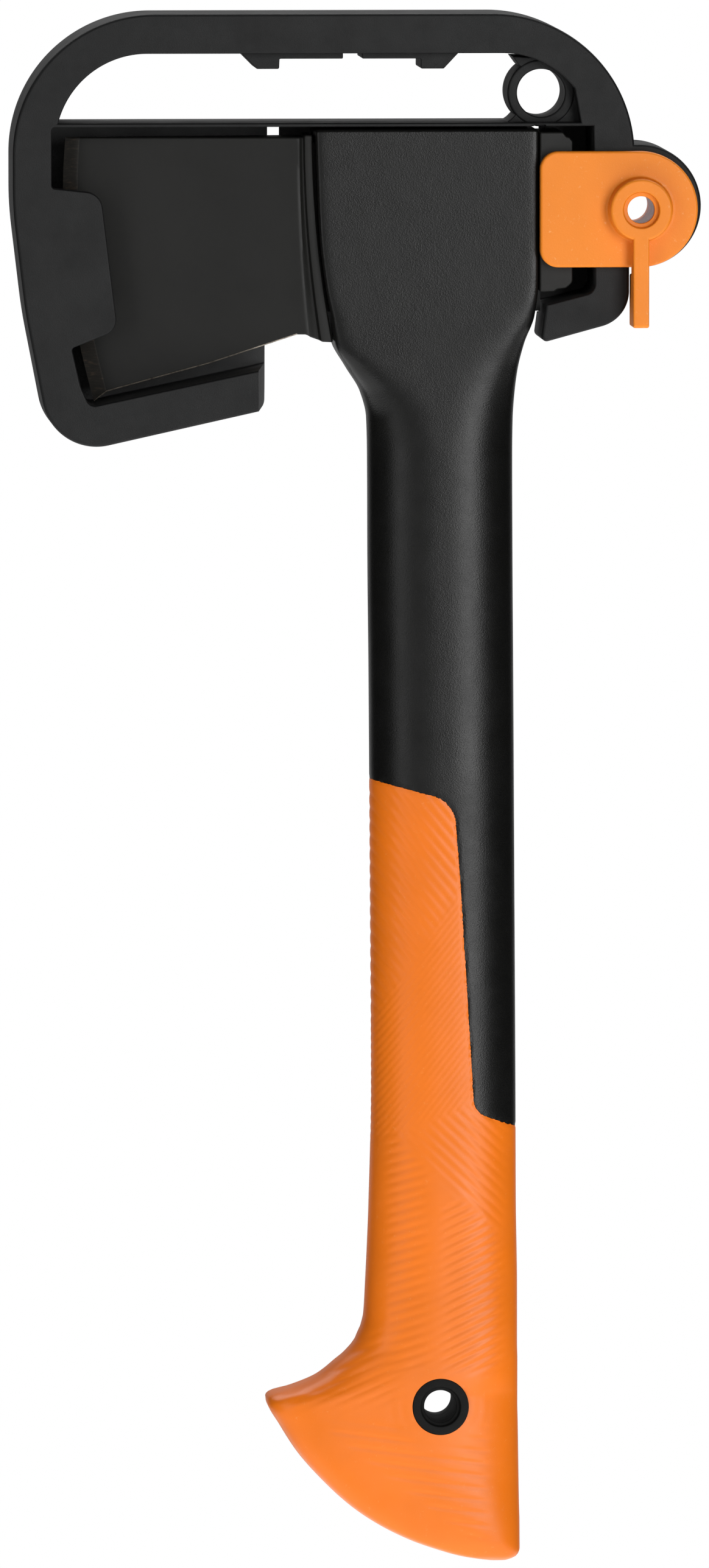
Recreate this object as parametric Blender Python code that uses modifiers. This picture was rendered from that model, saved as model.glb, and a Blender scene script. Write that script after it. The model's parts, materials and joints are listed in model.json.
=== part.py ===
"""A 14-inch hatchet locked in its moulded carry sheath.

Metres, +Z up. The hatchet stands upright in the sheath, head at the top and cutting edge towards -X.
The open side of the sheath, with the latch, faces -Y. The origin is the hang point: the middle of the
flat in the notch under the carry bar, on the centre plane of the hatchet.
Sizes below are in millimetres and go through MM or point().
"""

import math

import bmesh
import bpy
from mathutils import Vector

MM = 0.001
GAP = 0.3  # between pieces that touch on the real object
ARC_ERROR = 0.03  # most that a straight step may leave its arc

# Sheath, along Y
RIM_FRONT = -12.5
PANEL_FRONT = 12.4
SHEATH_BACK = 15.0
FLAP_THICKNESS = 2.6
RIM_EDGE_RADIUS = 0.9
PAST = 3.0  # how far a cutter runs past a face
INSIDE = 1.0  # how far joined solids run into each other

# Sheath, in the XZ plane
BAR_HEIGHT = 9.8
SHOULDER_RADIUS = 34.8
SHOULDER_CENTRES = (-49.1, 34.6)
SHOULDER_END = 5.0  # degrees above +X at which the right shoulder gives way to the latch boss
LOWER_RIGHT_X = 68.1
WINDOW_RADIUS = 22.6
WINDOW_CENTRES = (-50.8, 36.7)
MID_BAR_TOP = -17.1
MID_BAR_BOTTOM = -18.3
PANEL_BOTTOM = -62.0
SLOT_WIDTH = 3.0
SLOT_CENTRES = (-18.4, 46.0)
SLOT_SHORT = 0.6  # between the top of a slot and the mid bar
RIB_TOP = 0.6  # how far the ribs run up into the bar
RIB_DROP = 1.4
RIB_CHAMFER = 0.5
TOOTH_DROP = 3.9
NOTCH_HALF_WIDTH = 2.35
RIB_FRONT, RIB_BACK = -9.0, 11.5
RING_CENTRE = (46.6, -10.0)
RING_HOLE_RADIUS = 5.9
RING_OUTER_RADIUS = 8.3
RING_FRONT, RING_BACK = -7.0, 11.0
LIP_END_SLANT = 3.0

# Latch and its pivot
PIVOT = (70.5, -38.4)
BOSS_CENTRE = (70.6, -37.7)
BOSS_RADIUS = 15.2
LATCH_RADIUS = 14.3
LATCH_REACH = 24.6
LATCH_BACK = -12.9
LATCH_FRONT = -15.9
COLLAR_FRONT = -21.0
COLLAR_RADIUS = 7.6
RECESS_RADIUS = 4.45
RECESS_FLOOR = -19.3
THROUGH_RADIUS = 3.35
TAIL_LEFT, TAIL_RIGHT = 68.5, 72.4
TAIL_END_Z = -67.5
TAIL_BACK = -7.5
TAIL_STOP_RADIUS = 16.2  # from the pivot to where the tail may reach back beside the boss
BUSH_RADIUS = 4.7
BUSH_BORE_RADIUS = 4.0
BUSH_CHAMFER = 0.4
BUSH_FRONT = -17.6
BUSH_FLANGE_RADIUS = 7.6
BUSH_FLANGE_THICKNESS = 2.4

# Hatchet
WRAP_HALF = 12.0
POLL_HALF = 11.5
WEB_HALF = 5.0
WEB_TOP, WEB_BOTTOM = -22.0, -64.0
POLL_START, POLL_END = 46.05, 54.2
HANDLE_TOP = -18.75
HANDLE_BOTTOM = -374.2
GRIP_WALL = 3.4
CORE_WALL = 3.2
LANYARD = (21.65, -335.15)
LANYARD_HOLE_RADIUS = 4.05
LANYARD_BOSS_RADIUS = 7.0
LANYARD_BOSS_HALF = 12.3
CUTTER_HALF = 20.0  # half depth of the cutters through the handle

SECTION_POINTS = 28

# Height, front edge, back edge, half thickness and squareness of the handle's sections
HANDLE_STATIONS = (
    (HANDLE_TOP, -9.3, 45.4, WRAP_HALF - 0.6, 9.0),
    (-19.6, -9.3, 45.75, WRAP_HALF, 9.0),
    (-44.8, -8.2, 45.75, WRAP_HALF, 9.0),
    (-57.5, -6.7, 45.7, WRAP_HALF, 8.0),
    (-64.8, -5.4, 45.0, WRAP_HALF, 6.5),
    (-71.8, -4.4, 42.6, 11.9, 5.0),
    (-78.0, -1.1, 41.2, 11.8, 4.0),
    (-84.0, 2.4, 40.5, 11.8, 3.2),
    (-90.3, 3.9, 40.1, 11.8, 2.8),
    (-99.0, 4.1, 40.0, 11.9, 2.6),
    (-125.0, 4.2, 40.1, 12.0, 2.5),
    (-155.0, 4.5, 40.3, 12.1, 2.5),
    (-204.0, 4.8, 40.6, 12.2, 2.5),
    (-257.0, 5.1, 40.9, 12.2, 2.5),
    (-285.0, 4.5, 41.0, 12.2, 2.5),
    (-306.0, 3.6, 41.3, 12.2, 2.5),
    (-312.8, 3.2, 41.3, 12.2, 2.5),
    (-320.0, 0.6, 41.3, 12.3, 2.5),
    (-324.6, -4.0, 41.4, 12.4, 2.6),
    (-328.1, -8.5, 41.4, 12.5, 2.7),
    (-331.0, -15.5, 41.4, 12.5, 2.8),
    (-332.6, -20.9, 41.4, 12.5, 2.9),
    (-334.4, -21.0, 41.4, 12.5, 3.0),
    (-340.0, -18.0, 41.5, 12.5, 3.0),
    (-346.8, -13.6, 41.6, 12.4, 3.0),
    (-353.5, -7.7, 41.7, 12.3, 3.0),
    (-360.4, -0.2, 41.8, 12.0, 3.0),
    (-365.0, 6.6, 41.9, 11.6, 3.0),
    (-369.0, 14.6, 41.9, 10.9, 3.0),
    (-372.2, 23.6, 41.2, 9.6, 3.0),
    (HANDLE_BOTTOM, 31.6, 39.0, 7.2, 3.0),
)

# The line where the orange grip meets the black handle, with corner radii
GRIP_LINE = (
    (-30.0, -179.6, 0.0),
    (4.5, -180.3, 30.0),
    (24.0, -185.2, 4.0),
    (27.2, -207.0, 90.0),
    (30.6, -261.4, 3.0),
    (41.5, -265.4, 0.0),
    (60.0, -266.0, 0.0),
    (60.0, -400.0, 0.0),
    (-40.0, -400.0, 0.0),
)

# Heights of the sections of the solids inside the grip
SPINE = (-176.0, -204.0, -257.0, -300.0, -325.0)
SPINE_END = -348.0
HOLLOW = (-96.0, -125.0, -204.0, -257.0, -300.0, -325.0, -352.0)
BEAK_LIMIT = 5.0  # the solids inside the grip stop this far behind x = 0

SHEATH_COLLECTION = "hatchet_in_sheath"
CUTTER_COLLECTION = "cutters"


def clear_scene():
    """Remove every object, then make the two collections."""
    for old in list(bpy.data.objects):
        bpy.data.objects.remove(old)
    for name in (SHEATH_COLLECTION, CUTTER_COLLECTION):
        collection = bpy.data.collections.get(name) or bpy.data.collections.new(name)
        if name not in bpy.context.scene.collection.children:
            bpy.context.scene.collection.children.link(collection)


def material(name, colour, roughness, metallic=0.0):
    """A plain Principled material."""
    made = bpy.data.materials.new(name)
    made.use_nodes = True
    shader = made.node_tree.nodes["Principled BSDF"]
    shader.inputs["Base Color"].default_value = (*colour, 1.0)
    shader.inputs["Roughness"].default_value = roughness
    shader.inputs["Metallic"].default_value = metallic
    return made


def add(name, mesh, collection, surface=None):
    """An object for the mesh, in the collection."""
    made = bpy.data.objects.new(name, mesh)
    bpy.data.collections[collection].objects.link(made)
    if surface is not None:
        made.data.materials.append(surface)
    return made


def as_cutter(made):
    """Hide a construction solid and keep it out of the parts."""
    made.hide_render = True
    made.display_type = "WIRE"
    return made


def point(x, z):
    """A point of the XZ drawing, from millimetres."""
    return Vector((x * MM, z * MM))


def arc_steps(radius, degrees):
    """How many straight steps keep an arc within ARC_ERROR of its circle."""
    step = 2 * math.degrees(math.acos(1.0 - ARC_ERROR / max(radius, 2 * ARC_ERROR)))
    return max(1, math.ceil(abs(degrees) / step))


def rounded(corners):
    """The outline through (x, z, radius) corners, each rounded by an arc."""
    outline = []
    count = len(corners)
    for i, (x, z, radius) in enumerate(corners):
        here = point(x, z)
        if radius == 0.0:
            outline.append(here)
            continue
        before = point(*corners[i - 1][:2])
        after = point(*corners[(i + 1) % count][:2])
        to_before = (before - here).normalized()
        to_after = (after - here).normalized()
        opening = to_before.angle(to_after)
        reach = radius * MM / math.tan(opening / 2)
        middle = (to_before + to_after).normalized()
        centre = here + middle * (radius * MM / math.sin(opening / 2))
        start = here + to_before * reach - centre
        turn = start.angle_signed(here + to_after * reach - centre)
        steps = arc_steps(radius, math.degrees(turn))
        for k in range(steps + 1):
            angle = -turn * k / steps
            spin_x = start.x * math.cos(angle) - start.y * math.sin(angle)
            spin_z = start.x * math.sin(angle) + start.y * math.cos(angle)
            outline.append(centre + Vector((spin_x, spin_z)))
    return outline


def arc(centre, radius, start, end):
    """Points on an arc between two angles in degrees, counted from +X towards +Z."""
    steps = arc_steps(radius, end - start)
    angles = [math.radians(start + (end - start) * k / steps) for k in range(steps + 1)]
    return [point(centre[0] + radius * math.cos(a), centre[1] + radius * math.sin(a)) for a in angles]


def plate(name, outline, y_front, y_back, collection=CUTTER_COLLECTION, surface=None, edge_radius=0.0):
    """A solid with this XZ outline between two depths in millimetres, as one closed mesh."""
    curve = bpy.data.curves.new(name + "_outline", "CURVE")
    curve.dimensions = "2D"
    curve.fill_mode = "BOTH"
    curve.extrude = ((y_back - y_front) / 2 - edge_radius) * MM
    curve.bevel_depth = edge_radius * MM
    curve.bevel_resolution = 1
    curve.offset = -edge_radius * MM
    spline = curve.splines.new("POLY")
    spline.points.add(len(outline) - 1)
    for spot, place in zip(spline.points, outline):
        spot.co = (place.x, place.y, 0.0, 1.0)
    spline.use_cyclic_u = True
    drawn = bpy.data.objects.new(name + "_drawn", curve)
    bpy.context.scene.collection.objects.link(drawn)
    drawn.rotation_euler = (math.pi / 2, 0.0, 0.0)
    drawn.location = (0.0, (y_front + y_back) / 2 * MM, 0.0)
    bpy.context.view_layer.update()
    graph = bpy.context.evaluated_depsgraph_get()
    mesh = bpy.data.meshes.new_from_object(drawn.evaluated_get(graph))
    mesh.transform(drawn.matrix_world)
    bpy.data.objects.remove(drawn)
    return add(name, welded(mesh, name), collection, surface)


def welded(mesh, name):
    """The mesh with its loose caps joined and its faces turned outwards."""
    work = bmesh.new()
    work.from_mesh(mesh)
    bmesh.ops.remove_doubles(work, verts=work.verts, dist=0.00001)
    bmesh.ops.recalc_face_normals(work, faces=work.faces)
    work.to_mesh(mesh)
    work.free()
    mesh.name = name
    return mesh


def cylinder(name, centre, radius, y_front, y_back, vertices=40):
    """A cylinder along Y, between two depths in millimetres."""
    mesh = bpy.data.meshes.new(name)
    work = bmesh.new()
    bmesh.ops.create_cone(
        work, cap_ends=True, segments=vertices, radius1=radius * MM, radius2=radius * MM,
        depth=(y_back - y_front) * MM,
    )
    work.to_mesh(mesh)
    work.free()
    made = add(name, mesh, CUTTER_COLLECTION)
    made.rotation_euler = (math.pi / 2, 0.0, 0.0)
    made.location = (centre[0] * MM, (y_front + y_back) / 2 * MM, centre[1] * MM)
    return as_cutter(made)


def block(name, low, high):
    """A box between two corners in millimetres."""
    mesh = bpy.data.meshes.new(name)
    work = bmesh.new()
    bmesh.ops.create_cube(work, size=1.0)
    for vertex in work.verts:
        for axis in range(3):
            vertex.co[axis] = (low[axis] if vertex.co[axis] < 0 else high[axis]) * MM
    work.to_mesh(mesh)
    work.free()
    return as_cutter(add(name, mesh, CUTTER_COLLECTION))


def loft(name, loops, collection=CUTTER_COLLECTION, surface=None):
    """A closed solid through loops of points that all have the same count."""
    mesh = bpy.data.meshes.new(name)
    work = bmesh.new()
    rows = [[work.verts.new(place) for place in loop] for loop in loops]
    count = len(loops[0])
    for upper, lower in zip(rows, rows[1:]):
        for i in range(count):
            j = (i + 1) % count
            work.faces.new((upper[i], upper[j], lower[j], lower[i]))
    work.faces.new(rows[0])
    work.faces.new(list(reversed(rows[-1])))
    bmesh.ops.recalc_face_normals(work, faces=work.faces)
    work.to_mesh(mesh)
    work.free()
    return add(name, mesh, collection, surface)


def combine(target, other, operation):
    """A Boolean modifier with the exact solver."""
    cut = target.modifiers.new(operation.lower() + "_" + other.name, "BOOLEAN")
    cut.operation = operation
    cut.solver = "EXACT"
    cut.object = as_cutter(other)
    return target


def shade(made, degrees=35):
    """Smooth shading with crisp corners."""
    made.data.shade_smooth()
    made.data.set_sharp_from_angle(angle=math.radians(degrees))


# ---------------------------------------------------------------- sheath


def frame_outline():
    """The sheath's outer edge, with the mouth that the handle leaves by and the latch boss at the right."""
    slot_left = SLOT_CENTRES[0] - SLOT_WIDTH / 2
    slot_right = SLOT_CENTRES[1] + SLOT_WIDTH / 2
    left, right = SHOULDER_CENTRES
    top = arc((right, BAR_HEIGHT - SHOULDER_RADIUS), SHOULDER_RADIUS, 90.0, SHOULDER_END)
    shoulder_x = right + SHOULDER_RADIUS * math.cos(math.radians(SHOULDER_END))
    boss_start = math.degrees(math.acos((shoulder_x - BOSS_CENTRE[0]) / BOSS_RADIUS))
    boss_end = -math.degrees(math.acos((LOWER_RIGHT_X - BOSS_CENTRE[0]) / BOSS_RADIUS))
    boss = arc(BOSS_CENTRE, BOSS_RADIUS, boss_start, boss_end)
    rest = rounded((
        (LOWER_RIGHT_X, -57.0, 0.0),
        (LOWER_RIGHT_X, -65.6, 9.0),
        (46.2, -71.6, 1.3),
        (slot_right, PANEL_BOTTOM, 0.0),
        (slot_left, PANEL_BOTTOM, 0.0),
        (-20.3, -77.5, 0.0),
        (-20.6, -87.6, 1.3),
        (-73.9, -99.5, 13.5),
        (-80.8, -64.0, 120.0),
        (left - SHOULDER_RADIUS, -38.0, 90.0),
        (left - SHOULDER_RADIUS, BAR_HEIGHT, SHOULDER_RADIUS),
        (right, BAR_HEIGHT, 0.0),
    ))
    return top[1:] + boss + rest


def window_outline():
    """The hand opening under the carry bar; the ring and its web fill the right end."""
    left, right = WINDOW_CENTRES
    floor_angle = math.degrees(math.asin((MID_BAR_TOP + WINDOW_RADIUS) / WINDOW_RADIUS))
    ring_angle = math.degrees(math.acos((RING_CENTRE[0] - right) / WINDOW_RADIUS))
    left_arc = arc((left, -WINDOW_RADIUS), WINDOW_RADIUS, 180.0 - floor_angle, 90.0)
    right_arc = arc((right, -WINDOW_RADIUS), WINDOW_RADIUS, 90.0, ring_angle)
    return left_arc + right_arc + [point(RING_CENTRE[0], MID_BAR_TOP)]


def pocket_outline():
    """The tray's opening at the front, round the flap over the cutting edge."""
    return rounded((
        (-74.3, MID_BAR_BOTTOM, 0.8),
        (59.2, MID_BAR_BOTTOM, 0.0),
        (59.7, -59.0, 2.8),
        (48.5, -61.9, 0.0),
        (30.0, -66.0, 0.0),
        (-10.0, -75.3, 0.0),
        (-60.0, -85.9, 0.0),
        (-65.5, -87.0, 2.2),
        (-67.9, -82.0, 8.0),
        (-70.2, -72.7, 0.8),
        (-58.1, -68.0, 4.0),
        (-62.2, -34.3, 4.5),
        (-74.3, -33.0, 0.8),
    ))


def rib_outlines():
    """The two ribs under the carry bar, with a tooth each and the hang notch between them."""
    step = -RIB_DROP - RIB_CHAMFER
    left = (
        (-27.6, RIB_TOP), (-23.4, -TOOTH_DROP), (-18.1, -TOOTH_DROP), (-18.0, step), (-17.4, -RIB_DROP),
        (-NOTCH_HALF_WIDTH, -RIB_DROP), (-NOTCH_HALF_WIDTH, RIB_TOP),
    )
    right = (
        (NOTCH_HALF_WIDTH, RIB_TOP), (NOTCH_HALF_WIDTH, -RIB_DROP), (16.2, -RIB_DROP), (16.8, step),
        (16.8, -TOOTH_DROP), (22.3, -TOOTH_DROP), (26.2, RIB_TOP),
    )
    return [[point(x, z) for x, z in corners] for corners in (left, right)]


def sheath_body(surface):
    """The whole sheath moulding."""
    body = plate("sheath_body", frame_outline(), RIM_FRONT, SHEATH_BACK, SHEATH_COLLECTION, surface,
                 RIM_EDGE_RADIUS)
    flap_back = RIM_FRONT + FLAP_THICKNESS
    cutters = [
        plate("window", window_outline(), RIM_FRONT - PAST, SHEATH_BACK + PAST),
        plate("pocket", pocket_outline(), RIM_FRONT - PAST, PANEL_FRONT),
        block("edge_channel", (-74.2, flap_back, -76.0), (-55.0, PANEL_FRONT, -30.0)),
        cylinder("bush_bore", PIVOT, BUSH_RADIUS + GAP, RIM_FRONT - PAST, SHEATH_BACK + PAST, 32),
        cylinder("flange_seat", PIVOT, BUSH_FLANGE_RADIUS + GAP,
                 SHEATH_BACK - BUSH_FLANGE_THICKNESS - 2 * GAP, SHEATH_BACK + PAST, 32),
    ]
    for i, x in enumerate(SLOT_CENTRES):
        half = SLOT_WIDTH / 2
        cutters.append(block(
            "slot_%d" % i,
            (x - half, PANEL_FRONT - PAST, PANEL_BOTTOM - PAST),
            (x + half, SHEATH_BACK + PAST, MID_BAR_BOTTOM - SLOT_SHORT),
        ))
    for cutter in cutters:
        combine(body, cutter, "DIFFERENCE")
    for i, outline in enumerate(rib_outlines()):
        combine(body, plate("rib_%d" % i, outline, RIB_FRONT, RIB_BACK), "UNION")
    add_ring(body)
    combine(body, lip_end_cutter(), "DIFFERENCE")
    shade(body)
    return body


def add_ring(body):
    """The hang ring, the thin web that ties it to the frame, and its hole."""
    x, z = RING_CENTRE
    corners = (
        (x, z + 8.5), (x + 10.1, z + 2.0), (x + 13.6, z - 8.0), (x - 7.0, z - 8.0), (x - 4.0, z - 2.0),
    )
    web = [point(*corner) for corner in corners]
    combine(body, plate("ring_web", web, RING_FRONT, RING_BACK), "UNION")
    ring = cylinder("ring", RING_CENTRE, RING_OUTER_RADIUS, RING_FRONT - 0.5, RING_BACK + 0.5, 48)
    combine(body, ring, "UNION")
    hole = cylinder("ring_hole", RING_CENTRE, RING_HOLE_RADIUS, RIM_FRONT - PAST, SHEATH_BACK + PAST, 48)
    combine(body, hole, "DIFFERENCE")


def lip_end_cutter():
    """A slanted block that leans the lip's free end back by LIP_END_SLANT."""
    depth = SHEATH_BACK - RIM_FRONT
    cutter = block("lip_end", (0.0, -PAST, -95.0), (12.0, depth, -73.0))
    cutter.location = ((-20.4 - LIP_END_SLANT) * MM, RIM_FRONT * MM, 0.0)
    cutter.rotation_euler = (0.0, 0.0, -math.atan2(LIP_END_SLANT, depth))
    return cutter


# ---------------------------------------------------------------- latch


def latch(surface):
    """The turning plate with its collar and thumb tail. Its origin is on the pivot."""
    x, z = PIVOT
    body_outline = rounded((
        (x - LATCH_REACH, z + LATCH_RADIUS, 4.4),
        (x + LATCH_RADIUS, z + LATCH_RADIUS, LATCH_RADIUS - 0.01),
        (x + LATCH_RADIUS, z - LATCH_RADIUS, LATCH_RADIUS - 0.01),
        (x - LATCH_REACH, z - LATCH_RADIUS, 4.4),
    ))
    made = plate("latch", body_outline, LATCH_FRONT, LATCH_BACK, SHEATH_COLLECTION, surface, 0.5)
    combine(made, cylinder("collar", PIVOT, COLLAR_RADIUS, COLLAR_FRONT, LATCH_BACK - INSIDE, 48), "UNION")
    rod = block("tail_rod", (TAIL_LEFT, COLLAR_FRONT, TAIL_END_Z), (TAIL_RIGHT, LATCH_BACK - INSIDE, z))
    combine(made, rod, "UNION")
    stop = block("tail_stop", (TAIL_LEFT, COLLAR_FRONT + INSIDE, TAIL_END_Z),
                 (TAIL_RIGHT, TAIL_BACK, z - TAIL_STOP_RADIUS))
    combine(made, stop, "UNION")
    recess = cylinder("recess", PIVOT, RECESS_RADIUS, COLLAR_FRONT - PAST, RECESS_FLOOR, 40)
    combine(made, recess, "DIFFERENCE")
    combine(made, cylinder("through", PIVOT, THROUGH_RADIUS, COLLAR_FRONT - PAST, LATCH_BACK + PAST, 40),
            "DIFFERENCE")
    combine(made, cylinder("bush_seat", PIVOT, BUSH_RADIUS + GAP, BUSH_FRONT - GAP, LATCH_BACK + PAST, 40),
            "DIFFERENCE")
    move_origin(made, (x, 0.0, z))
    shade(made)
    return made


def latch_pivot(surface):
    """The hollow flanged bush, turned about the pivot axis."""
    flange_front = SHEATH_BACK - GAP - BUSH_FLANGE_THICKNESS
    profile = (
        (BUSH_BORE_RADIUS, BUSH_FRONT), (BUSH_RADIUS - BUSH_CHAMFER, BUSH_FRONT),
        (BUSH_RADIUS, BUSH_FRONT + BUSH_CHAMFER), (BUSH_RADIUS, flange_front),
        (BUSH_FLANGE_RADIUS, flange_front), (BUSH_FLANGE_RADIUS, SHEATH_BACK - GAP),
        (BUSH_BORE_RADIUS, SHEATH_BACK - GAP),
    )
    mesh = bpy.data.meshes.new("latch_pivot")
    work = bmesh.new()
    spots = [work.verts.new((radius * MM, 0.0, -y * MM)) for radius, y in profile]
    for first, second in zip(spots, spots[1:] + spots[:1]):
        work.edges.new((first, second))
    work.to_mesh(mesh)
    work.free()
    made = add("latch_pivot", mesh, SHEATH_COLLECTION, surface)
    turn = made.modifiers.new("turned", "SCREW")
    turn.steps = 40
    turn.render_steps = 40
    turn.use_merge_vertices = True
    turn.merge_threshold = 0.00001
    turn.use_smooth_shade = True
    made.rotation_euler = (math.pi / 2, 0.0, 0.0)
    made.location = (PIVOT[0] * MM, 0.0, PIVOT[1] * MM)
    return made


def move_origin(made, place):
    """Put the origin at a point in millimetres, without moving the mesh."""
    shift = Vector(place) * MM
    for vertex in made.data.vertices:
        vertex.co -= shift
    made.location = shift


# ---------------------------------------------------------------- hatchet


def bend(start, pull, end, share):
    """A point on the quadratic curve from start to end, pulled towards a third point."""
    keep = 1.0 - share
    return tuple(
        keep * keep * a + 2 * keep * share * b + share * share * c
        for a, b, c in zip(start, pull, end)
    )


def axe_head(surface):
    """The steel: cutting edge, wedge, web inside the handle, and poll."""
    steps = 8
    columns = (
        # top, pull and bottom of each upright line of the head, then its half thickness
        ((-70.4, -20.9), (-73.2, -52.0), (-63.4, -86.2), 0.25),
        ((-67.0, -20.9), (-69.6, -50.0), (-60.6, -83.9), 1.4),
        ((-13.1, -20.8), (-13.1, -45.0), (-8.6, -70.3), 8.0),
        ((-10.0, -20.2), (-9.9, -45.0), (-4.9, -71.6), 8.6),
        ((-10.0, WEB_TOP), (-9.9, -45.0), (-6.6, WEB_BOTTOM), WEB_HALF),
        ((POLL_START, WEB_TOP), (POLL_START, -43.0), (POLL_START, WEB_BOTTOM + 6.0), WEB_HALF),
        ((POLL_START, -19.5), (POLL_START, -39.0), (POLL_START, -58.9), POLL_HALF),
        ((51.0, -19.5), (51.0, -39.0), (51.0, -57.8), POLL_HALF),
        ((53.4, -21.0), (53.4, -39.0), (53.4, -57.3), POLL_HALF),
        ((POLL_END, -22.6), (POLL_END, -39.0), (POLL_END, -56.3), POLL_HALF - 0.8),
    )
    loops = []
    for top, pull, bottom, half in columns:
        line = [bend(top, pull, bottom, k / steps) for k in range(steps + 1)]
        front = [Vector((x, -half, z)) * MM for x, z in line]
        back = [Vector((x, half, z)) * MM for x, z in reversed(line)]
        loops.append(front + back)
    made = loft("axe_head", loops, SHEATH_COLLECTION, surface)
    shade(made, 12)
    return made


def station(z):
    """Front edge, back edge, half thickness and squareness of the handle at a height."""
    for upper, lower in zip(HANDLE_STATIONS, HANDLE_STATIONS[1:]):
        if lower[0] <= z <= upper[0]:
            share = (upper[0] - z) / (upper[0] - lower[0])
            return [a + (b - a) * share for a, b in zip(upper[1:], lower[1:])]
    raise ValueError("no handle at %g" % z)


def section(z, inset=0.0):
    """A loop round the handle at a height, drawn in by an inset."""
    front, back, half, squareness = station(z)
    middle = (front + back) / 2
    reach_x = (back - front) / 2 - inset
    reach_y = half - inset
    power = 2.0 / squareness
    loop = []
    for i in range(SECTION_POINTS):
        angle = 2 * math.pi * (i + 0.5) / SECTION_POINTS
        across, deep = math.cos(angle), math.sin(angle)
        x = middle + reach_x * math.copysign(abs(across) ** power, across)
        y = reach_y * math.copysign(abs(deep) ** power, deep)
        loop.append(Vector((x, y, z)) * MM)
    return loop


def inner_section(z, front, inset):
    """As section(), for the solids inside the grip, which stop short of the beak."""
    loop = section(z, inset)
    return [Vector((max(place.x, front * MM), place.y, place.z)) for place in loop]


def outer_solid(name, collection, surface):
    """The handle's whole outer form."""
    return loft(name, [section(row[0]) for row in HANDLE_STATIONS], collection, surface)


def inner_loft(name, heights, inset):
    """A solid inside the handle through the given heights."""
    return loft(name, [inner_section(z, BEAK_LIMIT + inset, inset) for z in heights])


def grip_plate(name, shift):
    """The grip's side view as a thick plate, moved up and back by a shift."""
    moved = [(x + shift, z + shift, radius) for x, z, radius in GRIP_LINE]
    return plate(name, rounded(moved), -CUTTER_HALF, CUTTER_HALF)


def handle_core(surface):
    """The black handle: head wrap, throat, spine inside the grip, and lanyard boss."""
    made = outer_solid("handle_core", SHEATH_COLLECTION, surface)
    combine(made, grip_plate("grip_room", GAP * 0.8), "DIFFERENCE")
    combine(made, inner_loft("spine", SPINE + (SPINE_END,), GRIP_WALL + GAP), "UNION")
    combine(made, inner_loft("hollow", HOLLOW, GRIP_WALL + GAP + CORE_WALL), "DIFFERENCE")
    tunnel = block("web_tunnel", (-25.0, -WEB_HALF - GAP, WEB_BOTTOM - GAP),
                   (60.0, WEB_HALF + GAP, WEB_TOP + GAP))
    combine(made, tunnel, "DIFFERENCE")
    boss = cylinder("lanyard_boss", LANYARD, LANYARD_BOSS_RADIUS, -LANYARD_BOSS_HALF, LANYARD_BOSS_HALF, 40)
    combine(made, boss, "UNION")
    hole = cylinder("lanyard_hole", LANYARD, LANYARD_HOLE_RADIUS, -CUTTER_HALF, CUTTER_HALF, 32)
    combine(made, hole, "DIFFERENCE")
    shade(made)
    return made


def handle_grip(surface):
    """The orange overmould: front of the handle, all of the pommel and its beak."""
    made = outer_solid("handle_grip", SHEATH_COLLECTION, surface)
    combine(made, grip_plate("grip_region", 0.0), "INTERSECT")
    combine(made, inner_loft("spine_room", SPINE + (SPINE_END - GAP,), GRIP_WALL), "DIFFERENCE")
    hole = cylinder("boss_room", LANYARD, LANYARD_BOSS_RADIUS + GAP, -CUTTER_HALF, CUTTER_HALF, 40)
    combine(made, hole, "DIFFERENCE")
    shade(made)
    return made


def build():
    """Every piece of the hatchet and its sheath."""
    clear_scene()
    sheath_body(material("sheath_plastic", (0.030, 0.033, 0.034), 0.55))
    latch(material("latch_plastic", (0.92, 0.27, 0.03), 0.45))
    latch_pivot(material("pivot_plastic", (0.92, 0.27, 0.03), 0.5))
    axe_head(material("coated_steel", (0.026, 0.026, 0.024), 0.40, 0.7))
    handle_core(material("handle_plastic", (0.018, 0.018, 0.019), 0.45))
    handle_grip(material("grip_plastic", (0.90, 0.21, 0.02), 0.50))


build()
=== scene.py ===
"""The looks of a 14-inch hatchet locked in its moulded carry sheath.

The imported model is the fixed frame. Each of its six nodes is stood for by a finely made piece with the same
sizes: rounded edges, the grip's grooves and a procedural material. Sizes below are in millimetres, +Z up,
the cutting edge towards -X and the open side of the sheath towards -Y, as in the frame.
"""

import json
import math

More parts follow.
